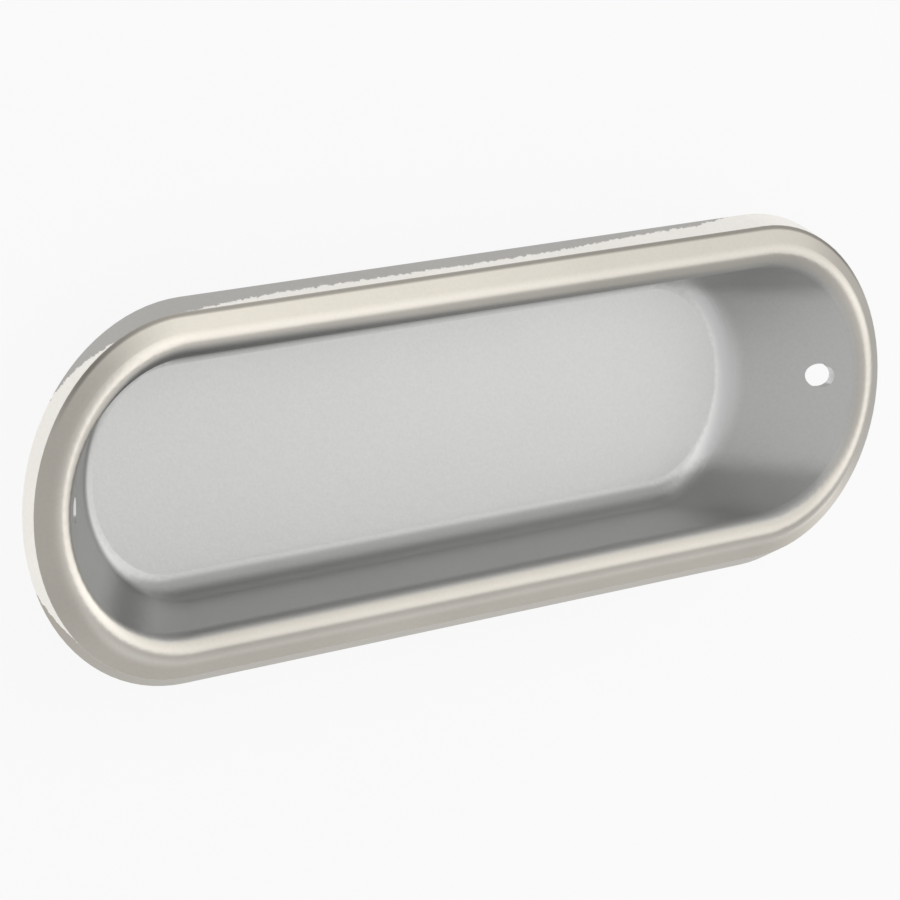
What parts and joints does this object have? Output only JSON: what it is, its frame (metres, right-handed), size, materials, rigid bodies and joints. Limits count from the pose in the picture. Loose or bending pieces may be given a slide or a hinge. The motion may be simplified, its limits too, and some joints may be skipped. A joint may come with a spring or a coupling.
{
  "type": "recessed pull handle",
  "caption": "Oblong recessed pull handle: a drawn sheet-metal finger cup with a domed rim, let into a door or drawer front and nailed through its sloping ends.",
  "frame": {"origin": "centre of the flat underside of the cup's floor, which the part rests on", "axes": "+X along the handle, +Y across it, +Z out of the recess towards the hand"},
  "size_m": [0.12, 0.04, 0.0132],
  "materials": {
    "satin_nickel": "satin nickel plate over steel"
  },
  "bodies": {
    "root": {"recessed_pull": "satin_nickel"}
  },
  "joints": []
}
